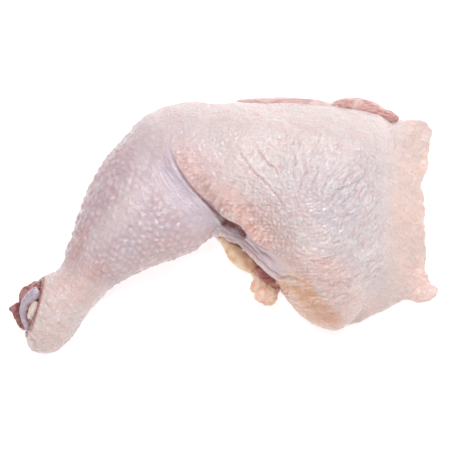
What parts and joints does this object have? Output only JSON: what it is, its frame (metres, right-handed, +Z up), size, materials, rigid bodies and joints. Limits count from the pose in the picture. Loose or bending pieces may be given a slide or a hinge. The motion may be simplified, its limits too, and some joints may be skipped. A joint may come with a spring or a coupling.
{
  "type": "raw chicken leg",
  "caption": "Whole raw chicken leg, drumstick and thigh under one skin, lying skin side up with a loose flap of skin at its end.",
  "frame": {"origin": "centre of the leg's bounding box in plan, on the surface that it lies on", "axes": "+X from the cut hock to the loose flap of skin, +Y from the inner bend to the cut top edge, +Z up, away from the surface, out of the skin side"},
  "size_m": [0.2077, 0.1237, 0.0467],
  "materials": {
    "skin": "moist",
    "meat": "moist",
    "fat": "moist",
    "cartilage": "glossy",
    "tendon": "moist",
    "hock_tissue": "moist"
  },
  "bodies": {
    "root": {"leg": "skin", "thigh_meat": "meat", "hip_lobe": "meat", "bend_meat": "meat", "fat_flap": "fat", "fat_nodule": "fat", "hock_ridge": "cartilage", "hock_tendon": "tendon", "hock_tissue": "hock_tissue"}
  },
  "joints": []
}
